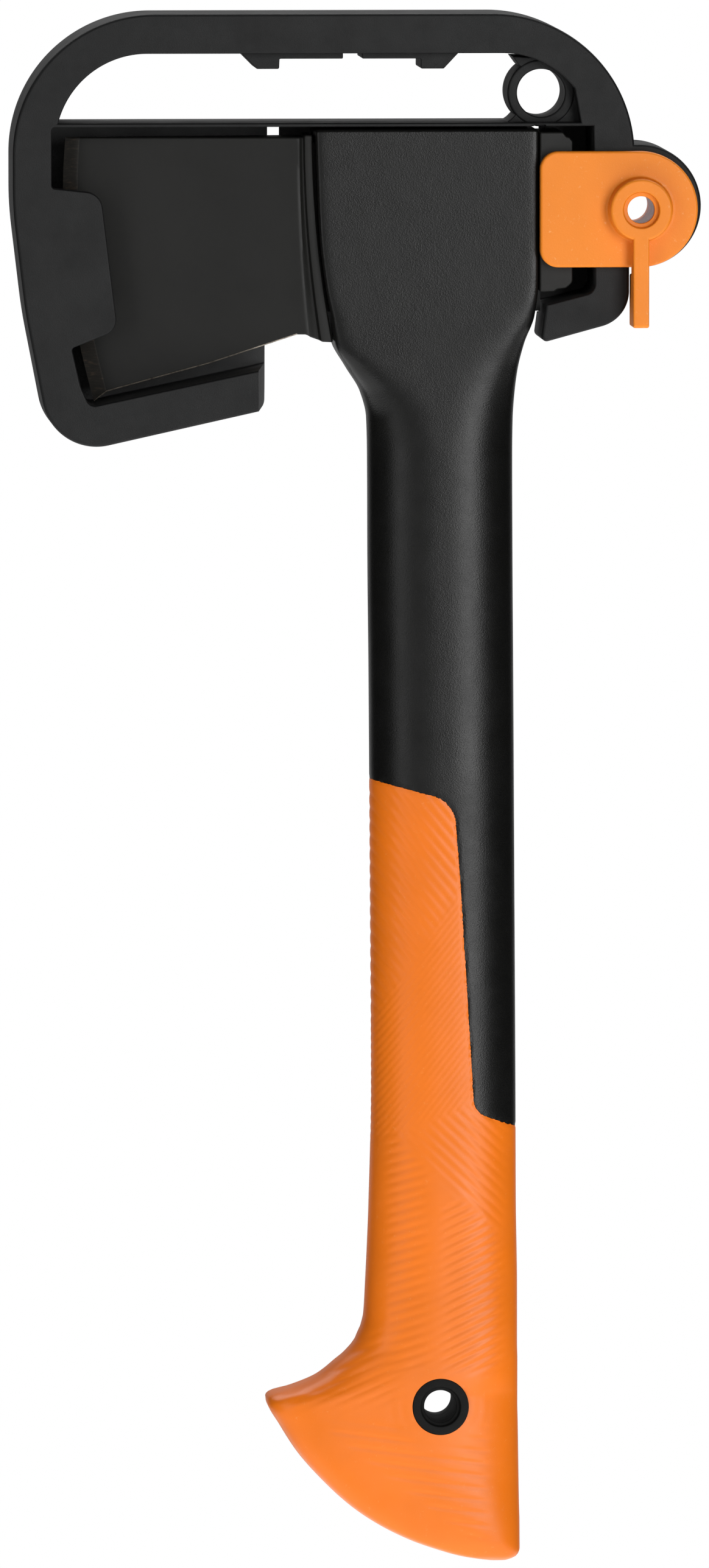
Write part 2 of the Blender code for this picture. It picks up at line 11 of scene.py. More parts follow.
import bmesh
import bpy
import numpy as np
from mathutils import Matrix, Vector


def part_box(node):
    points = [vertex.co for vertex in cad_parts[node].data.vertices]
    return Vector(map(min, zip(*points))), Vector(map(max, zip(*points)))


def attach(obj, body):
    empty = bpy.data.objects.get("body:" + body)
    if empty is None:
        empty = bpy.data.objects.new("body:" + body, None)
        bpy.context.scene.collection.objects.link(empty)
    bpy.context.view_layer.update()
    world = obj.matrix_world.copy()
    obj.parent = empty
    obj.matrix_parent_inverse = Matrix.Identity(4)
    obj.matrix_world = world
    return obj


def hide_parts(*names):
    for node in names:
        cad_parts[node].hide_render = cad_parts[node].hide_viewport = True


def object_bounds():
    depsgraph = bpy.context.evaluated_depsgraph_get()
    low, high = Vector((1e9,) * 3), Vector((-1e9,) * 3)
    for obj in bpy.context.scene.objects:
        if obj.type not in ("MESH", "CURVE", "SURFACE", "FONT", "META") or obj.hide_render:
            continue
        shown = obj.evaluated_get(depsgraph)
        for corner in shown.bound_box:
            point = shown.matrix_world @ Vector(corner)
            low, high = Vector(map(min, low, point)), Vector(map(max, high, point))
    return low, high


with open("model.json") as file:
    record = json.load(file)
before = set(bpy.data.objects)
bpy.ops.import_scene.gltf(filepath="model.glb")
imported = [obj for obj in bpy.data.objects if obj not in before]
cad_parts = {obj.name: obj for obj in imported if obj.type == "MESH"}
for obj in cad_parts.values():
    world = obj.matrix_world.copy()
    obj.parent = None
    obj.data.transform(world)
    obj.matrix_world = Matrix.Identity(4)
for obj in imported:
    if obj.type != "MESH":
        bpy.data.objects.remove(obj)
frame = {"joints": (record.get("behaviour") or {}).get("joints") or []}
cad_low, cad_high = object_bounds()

MM = 0.001
HATCHET = "sheathed_hatchet"


def low(node, axis):
    """The lowest coordinate of a CAD node along x, y or z, in millimetres."""
    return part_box(node)[0]["xyz".index(axis)] / MM


def high(node, axis):
    """The highest coordinate of a CAD node along x, y or z, in millimetres."""
    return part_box(node)[1]["xyz".index(axis)] / MM


# Sheath
RIM_FRONT = low("sheath_body", "y")
SHEATH_BACK = high("sheath_body", "y")
BAR_TOP = high("sheath_body", "z")
SHEATH_LEFT = low("sheath_body", "x")
WALL = 2.6
PANEL_FRONT = SHEATH_BACK - WALL
FLAP_BACK = RIM_FRONT + WALL
SHOULDER_RADIUS = 34.8
SHOULDER_CENTRES = (SHEATH_LEFT + SHOULDER_RADIUS, 34.6)
SHOULDER_END = 5.0  # degrees above +X at which the right shoulder gives way to the latch boss
LOWER_RIGHT_X = 68.1
WINDOW_RADIUS = 22.6
WINDOW_CENTRES = (-50.8, 36.7)
MID_BAR_TOP = -17.1
MID_BAR_BOTTOM = -18.05
NOTCH_TOP = -17.6  # the mid bar is thinned over the right slot
PANEL_BOTTOM = -62.0
SLOT_WIDTH = 3.0
SLOT_CENTRES = (-18.4, 46.0)
RING_CENTRE = (46.6, -10.0)
RING_FRONT, RING_BACK = -7.5, 11.5
RING_HOLE_RADIUS, RING_RADIUS = 5.9, 8.3
LIP_END_SLANT = 3.0
RIB_FRONT, RIB_BACK = -9.0, 11.5
RIB_ROOT, RIB_BOTTOM, TOOTH_BOTTOM = 0.9, -1.4, -3.9
NOTCH_HALF = 2.35  # half the width of the hang notch between the ribs
EDGE = 0.8  # radius of the sheath's moulded outer edges
INNER_EDGE = 0.45  # radius of the edges round its openings
FINE_EDGE = 0.3  # radius of the edges of its small features
PAST = 3.0  # how far cutters reach past the faces they cut
GAP = 0.3  # clearance between pieces

# Latch
joint = frame["joints"][0]
PIVOT = (joint["pos_m"][0] / MM, joint["pos_m"][2] / MM)
LATCH_RADIUS = high("latch", "z") - PIVOT[1]
LATCH_LEFT = low("latch", "x")
LATCH_TOP = low("latch", "y")
LATCH_PLATE = LATCH_TOP + 5.1
LATCH_UNDER = LATCH_PLATE + 3.0
TAIL_BACK = high("latch", "y")
TAIL_END = low("latch", "z")
BOSS_CENTRE = (70.6, -37.7)
BOSS_RADIUS = 15.2
THROUGH_RADIUS = 3.35
TAIL_LEFT, TAIL_RIGHT = 68.5, 72.4
TAIL_STOP_RADIUS = 16.2  # from the pivot to where the tail may reach back beside the boss
BUSH_RADIUS, BUSH_BORE_RADIUS = 4.7, 4.0
FLANGE_RADIUS, FLANGE_DEPTH = 7.6, 2.4

# Hatchet
HANDLE_TOP = high("handle_core", "z")
HANDLE_BOTTOM = low("handle_grip", "z")
LANYARD = (21.65, -335.15)
LANYARD_BOSS_RADIUS, LANYARD_BOSS_REACH = 6.95, 12.35
LANYARD_HOLE_RADIUS = 4.0
WEB_HALF = 5.0  # half the thickness of the steel inside the handle
WEB_TOP, WEB_BOTTOM = -22.0, -64.0
POLL_HALF = 11.5
GRIP_TOP = -177.0  # just above the highest point of the grip
HANDLE_BLACK_END = -270.0  # just below the lowest point of the bare handle

# Height, front edge, back edge, half thickness, squareness at the front and at the back
HANDLE_STATIONS = (
    (HANDLE_TOP, -9.3, 45.75, 12.0, 40.0, 40.0),
    (-44.8, -8.2, 45.75, 12.0, 40.0, 40.0),
    (-57.5, -6.7, 45.7, 12.0, 38.0, 30.0),
    (-64.8, -5.4, 45.0, 12.0, 26.0, 13.0),
    (-71.8, -4.4, 42.6, 11.9, 15.0, 7.0),
    (-78.0, -1.1, 41.2, 11.8, 6.5, 4.4),
    (-84.0, 2.4, 40.5, 11.8, 3.8, 3.2),
    (-90.3, 3.9, 40.1, 11.8, 2.8, 2.7),
    (-99.0, 4.1, 40.0, 11.9, 2.4, 2.4),
    (-125.0, 4.2, 40.1, 12.0, 2.4, 2.4),
    (-155.0, 4.5, 40.3, 12.1, 2.4, 2.4),
    (-204.0, 4.8, 40.6, 12.2, 2.4, 2.4),
    (-257.0, 5.1, 40.9, 12.2, 2.4, 2.5),
    (-285.0, 4.5, 41.0, 12.2, 2.4, 2.6),
    (-306.0, 3.6, 41.3, 12.2, 2.5, 2.7),
    (-312.8, 3.2, 41.3, 12.2, 2.6, 2.8),
    (-320.0, 0.6, 41.3, 12.3, 2.6, 2.8),
    (-324.6, -4.0, 41.4, 12.4, 2.7, 2.8),
    (-328.1, -8.5, 41.4, 12.5, 2.8, 2.8),
    (-331.1, -15.5, 41.4, 12.5, 3.0, 2.8),
    (-332.7, -20.5, 41.4, 12.5, 3.4, 2.8),
    (-333.6, -21.1, 41.4, 12.5, 4.0, 2.8),
    (-334.8, -20.9, 41.4, 12.5, 4.8, 2.8),
    (-340.0, -18.0, 41.5, 12.5, 6.0, 2.8),
    (-346.8, -13.6, 41.6, 12.4, 7.0, 2.8),
    (-353.5, -7.7, 41.7, 12.3, 7.0, 2.8),
    (-360.4, -0.2, 41.8, 12.0, 7.0, 3.0),
    (-365.0, 6.6, 41.9, 11.6, 6.5, 3.2),
    (-369.0, 14.6, 41.9, 10.9, 6.0, 3.4),
    (-371.4, 21.2, 41.9, 9.9, 5.5, 3.6),
    (-373.0, 26.6, 41.3, 8.8, 5.0, 3.6),
    (HANDLE_BOTTOM, 33.0, 39.4, 6.4, 4.0, 3.6),
)

# Millimetres of edge that a radian of turning counts for, when points are spread over a section
CORNER_SHARE = 3.0

# The line where the orange grip meets the black handle, with corner radii
GRIP_LINE = (
    (-30.0, -178.9, 0.0),
    (4.5, -179.6, 30.0),
    (24.9, -184.8, 7.5),
    (26.6, -206.5, 90.0),
    (30.0, -262.0, 4.5),
    (41.5, -266.4, 0.0),
    (60.0, -267.4, 0.0),
    (60.0, -400.0, 0.0),
    (-40.0, -400.0, 0.0),
)


# ---------------------------------------------------------------- outlines


def arc(centre, radius, start, end):
    """Points on an arc between two angles in degrees, counted from +X towards +Z."""
    steps = max(3, math.ceil(abs(end - start) * math.radians(1) * radius / (0.25 + 0.02 * radius)))
    angles = np.radians(np.linspace(start, end, steps + 1))
    return np.column_stack((centre[0] + radius * np.cos(angles), centre[1] + radius * np.sin(angles)))


def rounded(corners):
    """The outline through (x, z, radius) corners, each rounded by an arc."""
    parts = []
    for i, (x, z, radius) in enumerate(corners):
        here = np.array((x, z))
        if radius == 0.0:
            parts.append(here[None])
            continue
        to_before = np.array(corners[i - 1][:2]) - here
        to_after = np.array(corners[(i + 1) % len(corners)][:2]) - here
        to_before /= np.linalg.norm(to_before)
        to_after /= np.linalg.norm(to_after)
        opening = math.acos(np.clip(to_before @ to_after, -1.0, 1.0))
        middle = (to_before + to_after) / np.linalg.norm(to_before + to_after)
        centre = here + middle * radius / math.sin(opening / 2)
        spokes = [here + to * radius / math.tan(opening / 2) - centre for to in (to_before, to_after)]
        start, end = (math.degrees(math.atan2(spoke[1], spoke[0])) for spoke in spokes)
        parts.append(arc(centre, radius, start, start + (end - start + 180.0) % 360.0 - 180.0))
    return np.vstack(parts)


def grown(outline, amount):
    """The outline moved outwards by an amount."""
    forward = np.roll(outline, -1, axis=0) - outline
    forward /= np.linalg.norm(forward, axis=1)[:, None]
    normal = np.column_stack((forward[:, 1], -forward[:, 0]))
    both = normal + np.roll(normal, 1, axis=0)
    both *= 2 / (both * both).sum(axis=1)[:, None]
    x, z = outline.T
    counter_clockwise = (x * np.roll(z, -1) - z * np.roll(x, -1)).sum() > 0
    return outline + both * (amount if counter_clockwise else -amount)


def quarter(radius, steps=4):
    """(distance from the face, distance from the side) along a rounded edge, from the face to the side."""
    turns = np.radians(np.linspace(0.0, 90.0, steps + 1))
    return [(radius - radius * math.cos(turn), radius - radius * math.sin(turn)) for turn in turns]


def body_levels(front, back, front_edge, back_edge):
    """Levels of a solid with rounded edges: (depth, growth) from its front face to its back face."""
    first = [(front + down, -side) for down, side in quarter(front_edge)]
    last = [(back - down, -side) for down, side in reversed(quarter(back_edge))]
    return first + last


def cutter_levels(front, back, edge):
    """Levels of a cutter through two faces that leaves both their edges rounded."""
    first = [(front + down, side) for down, side in quarter(edge)]
    last = [(back - down, side) for down, side in reversed(quarter(edge))]
    middle = [((front + back) / 2, 0.0)]
    return [(front - PAST, edge)] + first + middle + last + [(back + PAST, edge)]


# ---------------------------------------------------------------- meshes


def grid_mesh(name, rings, closed=False):
    """A closed mesh through rings of points (rows, points, xyz), capped at both ends or joined end to end."""
    rows, count = rings.shape[:2]
    index = np.arange(rows * count).reshape(rows, count)
    upper = index if closed else index[:-1]
    lower = np.roll(index, -1, axis=0) if closed else index[1:]
    quads = np.stack((upper, np.roll(upper, -1, axis=1), np.roll(lower, -1, axis=1), lower), axis=-1)
    faces = quads.reshape(-1, 4).tolist()
    if not closed:
        faces += [index[0][::-1].tolist(), index[-1].tolist()]
    mesh = bpy.data.meshes.new(name)
    mesh.from_pydata((rings.reshape(-1, 3) * MM).tolist(), [], faces)
    work = bmesh.new()
    work.from_mesh(mesh)
    bmesh.ops.recalc_face_normals(work, faces=work.faces)
    work.to_mesh(mesh)
    work.free()
    made = bpy.data.objects.new(name, mesh)
    bpy.context.scene.collection.objects.link(made)
    return made


def solid(name, outline, levels, along="y"):
    """A closed solid: the outline, grown as given at each depth, along y (an XZ outline) or x (a YZ one)."""
    rings = np.array([np.insert(grown(outline, growth), 1, depth, axis=1) for depth, growth in levels])
    if along == "x":
        rings = rings[:, :, (1, 0, 2)]
    return grid_mesh(name, rings)


def turned(name, centre, profile, steps=96):
    """A ring turned round an axis along Y, from a closed (radius, y) profile."""
    angles = np.linspace(0.0, 2 * math.pi, steps, endpoint=False)
    radius, depth = (profile[:, k][:, None] for k in range(2))
    x = centre[0] + radius * np.cos(angles)
    z = centre[1] + radius * np.sin(angles)
    return grid_mesh(name, np.stack((x, depth + 0 * x, z), axis=-1), closed=True)


def cylinder(name, centre, radius, front, back, edge=0.0, past=PAST):
    """A round cutter along Y that leaves the edges of its hole rounded."""
    outline = arc(centre, radius, 0.0, 360.0)[:-1]
    if edge:
        return solid(name, outline, cutter_levels(front, back, edge))
    return solid(name, outline, [(front - past, 0.0), (back + past, 0.0)])


def block(name, low_corner, high_corner):
    """A box cutter between two corners."""
    (x0, y0, z0), (x1, y1, z1) = low_corner, high_corner
    return solid(name, np.array(((x0, z0), (x1, z0), (x1, z1), (x0, z1))), [(y0, 0.0), (y1, 0.0)])


def combine(target, operation, others):
    """Add, cut or keep the shapes of other objects, which are used up."""
    for other in others:
        change = target.modifiers.new(operation.lower(), "BOOLEAN")
        change.operation = operation
        change.solver = "MANIFOLD"
        change.object = other
    graph = bpy.context.evaluated_depsgraph_get()
    mesh = bpy.data.meshes.new_from_object(target.evaluated_get(graph))
    target.modifiers.clear()
    target.data = mesh
    for other in others:
        bpy.data.objects.remove(other)
    return target


def join(target, others):
    """The other objects' meshes become loose parts of the target's."""
    work = bmesh.new()
    for made in [target] + others:
        work.from_mesh(made.data)
    work.to_mesh(target.data)
    work.free()
    for made in others:
        bpy.data.objects.remove(made)
    return target


def as_piece(made, node, surface, degrees=32.0, body=HATCHET):
    """Shade the mesh, give it its material, and let it stand for a CAD node."""
    made.data.materials.clear()
    made.data.materials.append(surface)
    made.data.shade_smooth()
    made.data.set_sharp_from_angle(angle=math.radians(degrees))
    weigh = made.modifiers.new("even_flats", "WEIGHTED_NORMAL")
    weigh.keep_sharp = True
    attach(made, body)
    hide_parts(node)
    return made


# ---------------------------------------------------------------- sheath


def frame_outline():
    """The sheath's outer edge, with the mouth that the handle leaves by and the latch boss at the right."""
    slot_left = SLOT_CENTRES[0] - SLOT_WIDTH / 2
    slot_right = SLOT_CENTRES[1] + SLOT_WIDTH / 2
    left, right = SHOULDER_CENTRES
    top = arc((right, BAR_TOP - SHOULDER_RADIUS), SHOULDER_RADIUS, 90.0, SHOULDER_END)
    boss_start = math.degrees(math.acos((top[-1][0] - BOSS_CENTRE[0]) / BOSS_RADIUS))
    boss_end = -math.degrees(math.acos((LOWER_RIGHT_X - BOSS_CENTRE[0]) / BOSS_RADIUS))
    boss = arc(BOSS_CENTRE, BOSS_RADIUS, boss_start, boss_end)
    rest = rounded((
        (LOWER_RIGHT_X, -57.0, 0.0),
        (LOWER_RIGHT_X, -65.6, 9.0),
        (46.2, -71.6, 1.3),
        (slot_right, PANEL_BOTTOM, 0.0),
        (slot_left, PANEL_BOTTOM, 0.0),
        (-20.3, -77.5, 0.0),
        (-20.6, -87.6, 1.3),
        (-73.9, -99.5, 13.5),
        (-80.8, -64.0, 120.0),
        (left - SHOULDER_RADIUS, -38.0, 90.0),
        (left - SHOULDER_RADIUS, BAR_TOP, SHOULDER_RADIUS),
        (right, BAR_TOP, 0.0),
    ))
    return np.vstack((top[1:], boss, rest))


def window_outline():
    """The hand opening under the carry bar; the ring and its web fill the right end."""
    left, right = WINDOW_CENTRES
    floor_angle = math.degrees(math.asin((MID_BAR_TOP + WINDOW_RADIUS) / WINDOW_RADIUS))
    ring_angle = math.degrees(math.acos((RING_CENTRE[0] + 8.0 - right) / WINDOW_RADIUS))
    left_arc = arc((left, -WINDOW_RADIUS), WINDOW_RADIUS, 180.0 - floor_angle, 90.0)
    right_arc = arc((right, -WINDOW_RADIUS), WINDOW_RADIUS, 90.0, ring_angle)
    return np.vstack((left_arc, right_arc, ((RING_CENTRE[0] + 9.5, MID_BAR_TOP),)))


def pocket_outline():
    """The tray's opening at the front, round the flap over the cutting edge."""
    return rounded((
        (-74.3, MID_BAR_BOTTOM, 0.8),
        (59.2, MID_BAR_BOTTOM, 0.0),
        (59.7, -59.0, 2.8),
        (48.5, -61.9, 0.0),
        (30.0, -66.0, 0.0),
        (-10.0, -75.3, 0.0),
        (-60.0, -85.9, 0.0),
        (-65.0, -87.0, 2.2),
        (-67.2, -82.0, 8.0),
        (-69.4, -72.5, 0.8),
        (-58.1, -68.0, 4.0),
        (-62.2, -34.3, 4.5),
        (-74.3, -33.0, 0.8),
    ))


def ribs():
    """The two ribs under the carry bar, with a tooth each and the hang notch between them."""
    left = (
        (-28.4, RIB_ROOT, 0.0), (-23.6, TOOTH_BOTTOM, 0.5), (-18.1, TOOTH_BOTTOM, 0.4),
        (-18.0, RIB_BOTTOM, FINE_EDGE), (-NOTCH_HALF, RIB_BOTTOM, FINE_EDGE), (-NOTCH_HALF, RIB_ROOT, 0.0),
    )
    right = (
        (NOTCH_HALF, RIB_ROOT, 0.0), (NOTCH_HALF, RIB_BOTTOM, FINE_EDGE), (16.8, RIB_BOTTOM, FINE_EDGE),
        (16.8, TOOTH_BOTTOM, 0.4), (22.5, TOOTH_BOTTOM, 0.5), (27.0, RIB_ROOT, 0.0),
    )
    levels = body_levels(RIB_FRONT, RIB_BACK, FINE_EDGE, FINE_EDGE)
    return [solid("rib", rounded(corners), levels) for corners in (left, right)]


def ring_parts():
    """The hang ring, its small fillets and the recessed web that ties it to the frame."""
    x, z = RING_CENTRE
    web = rounded((
        (x - 2.0, z + 9.2, 0.0), (x + 10.1, z + 2.0, 0.0), (x + 14.5, z - 8.0, 0.0), (x - 8.6, z - 8.0, 0.0),
        (x - 8.6, z - 7.3, 0.0), (x - 7.3, z - 6.4, 1.0), (x - 3.0, z - 2.0, 0.0),
    ))
    ear = rounded((
        (x - 7.0, z + 9.0, 0.0), (x - 5.4, z + 6.8, 1.2), (x - 2.0, z + 4.0, 0.0), (x + 3.0, z + 8.5, 0.0),
    ))
    ring = turned("ring", RING_CENTRE, rounded((
        (RING_HOLE_RADIUS, RING_FRONT, 0.5), (RING_RADIUS, RING_FRONT, 0.6),
        (RING_RADIUS, RING_BACK, 0.6), (RING_HOLE_RADIUS, RING_BACK, 0.5),
    )))
    levels = body_levels(RING_FRONT + 0.3, RING_BACK - 0.3, FINE_EDGE, FINE_EDGE)
    return [solid("ring_web", web, levels), solid("ring_ear", ear, levels), ring]


def lip_end_cutter():
    """A slanted block that leans the lip's free end back by LIP_END_SLANT."""
    depth = SHEATH_BACK - RIM_FRONT
    lean = LIP_END_SLANT / depth
    low_z, high_z = -95.0, -73.0
    rings = []
    for y in (RIM_FRONT - PAST, SHEATH_BACK + PAST):
        face = -20.4 - LIP_END_SLANT + (y - RIM_FRONT) * lean
        clear = face + 15.0
        rings.append(((face, y, low_z), (clear, y, low_z), (clear, y, high_z), (face, y, high_z)))
    return grid_mesh("lip_end", np.array(rings))


def slot_cutter(x):
    """A see-through slot in the tray's back panel."""
    left, right = x - SLOT_WIDTH / 2, x + SLOT_WIDTH / 2
    low_z, high_z = PANEL_BOTTOM - PAST, MID_BAR_BOTTOM - 0.6
    outline = rounded(((left, low_z, 0.0), (right, low_z, 0.0), (right, high_z, 0.5), (left, high_z, 0.5)))
    return solid("slot", outline, cutter_levels(PANEL_FRONT, SHEATH_BACK, FINE_EDGE))


def in_tray(x, y, z):
    """Whether a point lies on the tray's floor or inner walls."""
    floor_z = -63.0 if x > 30.0 else -87.3
    return (-76.0 < x < 62.0 and RIM_FRONT + 1.0 < y < PANEL_FRONT + 0.3
            and floor_z < z < MID_BAR_BOTTOM + 0.1)


def sheath_body():
    """The whole sheath moulding, made a little paler inside the tray as painted light where the tray's walls
    and the blade shade it.
    """
    body = solid("sheath", frame_outline(), body_levels(RIM_FRONT, SHEATH_BACK, EDGE, EDGE))
    pocket_levels = [(RIM_FRONT - PAST, INNER_EDGE)]
    pocket_levels += [(RIM_FRONT + down, side) for down, side in quarter(INNER_EDGE)]
    pocket_levels += [(PANEL_FRONT - down, -side) for down, side in reversed(quarter(0.4))]
    cutters = [
        solid("window", window_outline(), cutter_levels(RIM_FRONT, SHEATH_BACK, INNER_EDGE)),
        solid("pocket", pocket_outline(), pocket_levels),
        block("edge_channel", (-74.2, FLAP_BACK, -76.0), (-55.0, PANEL_FRONT, -30.0)),
        cylinder("bush_bore", PIVOT, BUSH_RADIUS + GAP, RIM_FRONT, SHEATH_BACK, FINE_EDGE),
        cylinder("flange_seat", PIVOT, FLANGE_RADIUS + GAP, SHEATH_BACK, SHEATH_BACK),
    ]
    cutters += [slot_cutter(x) for x in SLOT_CENTRES]
    notch_low = (SLOT_CENTRES[1] - SLOT_WIDTH / 2, RIM_FRONT - 1.0, -20.0)
    notch_high = (SLOT_CENTRES[1] + SLOT_WIDTH / 2, SHEATH_BACK + 1.0, NOTCH_TOP)
    cutters.append(block("notch", notch_low, notch_high))
    combine(body, "DIFFERENCE", cutters)
    combine(body, "UNION", ribs() + ring_parts())
    hole = cylinder("ring_hole", RING_CENTRE, RING_HOLE_RADIUS, RING_FRONT, RING_BACK, past=30.0)
    combine(body, "DIFFERENCE", [hole, lip_end_cutter()])
    body = as_piece(body, "sheath_body", sheath_plastic())
    body.data.materials.append(pocket_painted_light_plastic())
    # Faces inside the tray get the paler plastic: painted light that lifts the tray's shade.
    for face in body.data.polygons:
        face.material_index = int(in_tray(*(face.center / MM)))
    return body


# ---------------------------------------------------------------- latch


def latch():
    """The turning plate with its collar and thumb tail."""
    x, z = PIVOT
    r = LATCH_RADIUS
    corner, round_end = 4.4, r - 0.01
    plate = rounded((
        (LATCH_LEFT, z + r, corner), (x + r, z + r, round_end),
        (x + r, z - r, round_end), (LATCH_LEFT, z - r, corner),
    ))
    made = solid("latch_plate", plate, body_levels(LATCH_PLATE, LATCH_UNDER, 0.7, 0.3))
    collar = turned("collar", PIVOT, rounded((
        (3.1, LATCH_UNDER - 1.0, 0.0), (THROUGH_RADIUS, LATCH_TOP + 1.7, 0.25), (4.35, LATCH_TOP + 1.7, 0.3),
        (4.5, LATCH_TOP, 0.35),
        (7.6, LATCH_TOP, 0.7), (7.75, LATCH_PLATE - 0.9, 0.0), (8.1, LATCH_PLATE - 0.25, 0.0),
        (8.9, LATCH_PLATE + 0.05, 0.0), (8.9, LATCH_UNDER - 1.0, 0.0),
    )))
    stop_top = z - TAIL_STOP_RADIUS
    side = rounded((
        (LATCH_TOP, TAIL_END, 0.9), (TAIL_BACK, TAIL_END, 0.9), (TAIL_BACK, stop_top, 0.7),
        (LATCH_UNDER - 0.5, stop_top, 0.0), (LATCH_UNDER - 0.5, z - 5.2, 0.0), (LATCH_TOP, z - 5.2, 0.7),
    ))
    tail = solid("tail", side, body_levels(TAIL_LEFT, TAIL_RIGHT, 0.45, 0.45), along="x")
    room = cylinder("bush_room", PIVOT, BUSH_RADIUS + GAP, LATCH_UNDER, LATCH_UNDER, past=5.0)
    below = block("below", (x - 9.0, LATCH_UNDER, z - 9.0), (x + 9.0, LATCH_UNDER + 8.0, z + 9.0))
    middle = cylinder("middle", PIVOT, 6.0, LATCH_PLATE, LATCH_UNDER)
    hole = cylinder("through", PIVOT, THROUGH_RADIUS, LATCH_TOP, LATCH_UNDER)
    combine(made, "DIFFERENCE", [middle])
    combine(made, "UNION", [collar, tail])
    combine(made, "DIFFERENCE", [room, below])
    combine(made, "DIFFERENCE", [hole])
    return as_piece(made, "latch", latch_plastic(), body="latch")


def latch_pivot():
    """The hollow flanged bush that the latch turns on."""
    front, back = low("latch_pivot", "y"), high("latch_pivot", "y")
    flange_front = back - FLANGE_DEPTH
    made = turned("pivot_bush", PIVOT, rounded((
        (BUSH_BORE_RADIUS, front, 0.2), (BUSH_RADIUS, front, 0.3), (BUSH_RADIUS, flange_front, 0.2),
        (FLANGE_RADIUS, flange_front, 0.3), (FLANGE_RADIUS, back, 0.5), (BUSH_BORE_RADIUS, back, 0.3),
    )))
    return as_piece(made, "latch_pivot", pivot_plastic(), body="latch")


# ---------------------------------------------------------------- head


def on_curve(start, pull, end, share):
    """Points on the quadratic curve from start to end, pulled towards a third point."""
    keep = 1.0 - share
    return keep * keep * start + 2 * keep * share * pull + share * share * end


def column_loop(top, pull, bottom, half, count=40, corner_steps=4):
    """A closed loop round the wedge along one upright curve, with rounded top and bottom edges."""
    top, pull, bottom = (np.array(place, float) for place in (top, pull, bottom))
    length = np.linalg.norm(bottom - top)
    radius = min(0.5, 0.9 * half)
    turns = np.radians(np.linspace(0.0, 90.0, corner_steps + 1))[1:-1]
    corner_in = radius - radius * np.sin(turns)
    corner_out = half - radius + radius * np.cos(turns)
    down = np.linspace(radius, length - radius, count)
    face = np.full(count, half)
    along = np.concatenate((down, length - corner_in, length - corner_in[::-1],
                            down[::-1], corner_in, corner_in[::-1]))
    depth = np.concatenate((-face, -corner_out, corner_out[::-1], face, corner_out, -corner_out[::-1]))
    share = np.clip(along / length, 0.0, 1.0)[:, None]
    places = on_curve(top, pull, bottom, share)
    return np.column_stack((places[:, 0], depth, places[:, 1]))


# Top, pull and bottom of the head's upright lines, half thickness, and steps to the next line
HEAD_LINES = (
    ((-70.4, -20.9), (-73.2, -52.0), (-63.4, -86.2), 0.16, 8),
    ((-66.9, -20.9), (-69.4, -50.0), (-60.3, -83.8), 1.45, 2),
    ((-64.0, -20.9), (-66.3, -49.5), (-57.6, -83.0), 1.9, 6),
    ((-40.0, -20.85), (-41.0, -47.0), (-35.0, -76.7), 4.75, 6),
    ((-16.2, -20.8), (-16.2, -45.0), (-13.6, -69.5), 7.75, 2),
    ((-14.0, -20.8), (-14.0, -45.0), (-11.6, -69.5), 8.1, 1),
    ((-13.5, -20.8), (-13.5, -45.0), (-11.0, -69.7), 8.15, 1),
    ((-13.05, -20.8), (-13.05, -45.0), (-10.4, -70.1), 8.0, 1),
    ((-12.75, -20.8), (-12.75, -45.0), (-9.6, -70.4), 7.6, 1),
    ((-12.4, -20.8), (-12.4, -45.0), (-8.8, -70.7), 7.3, 1),
    ((-12.1, -20.7), (-12.05, -45.0), (-8.2, -70.9), 7.4, 1),
    ((-11.95, -20.5), (-11.9, -45.0), (-7.9, -71.05), 8.2, 1),
    ((-11.75, -20.3), (-11.7, -45.0), (-7.6, -71.2), 8.55, 1),
    ((-11.5, -20.2), (-11.4, -45.0), (-7.3, -71.3), 8.65, 2),
    ((-10.15, -20.2), (-10.0, -45.0), (-5.2, -71.4), 8.65, 1),
    ((-9.85, -20.4), (-9.7, -45.0), (-4.8, -71.2), 8.35, 1),
    ((-9.8, -22.0), (-9.7, -45.0), (-6.4, -64.0), 5.0, 1),
    ((-2.0, -22.0), (-2.0, -45.0), (-2.0, -64.0), 5.0, 0),
)


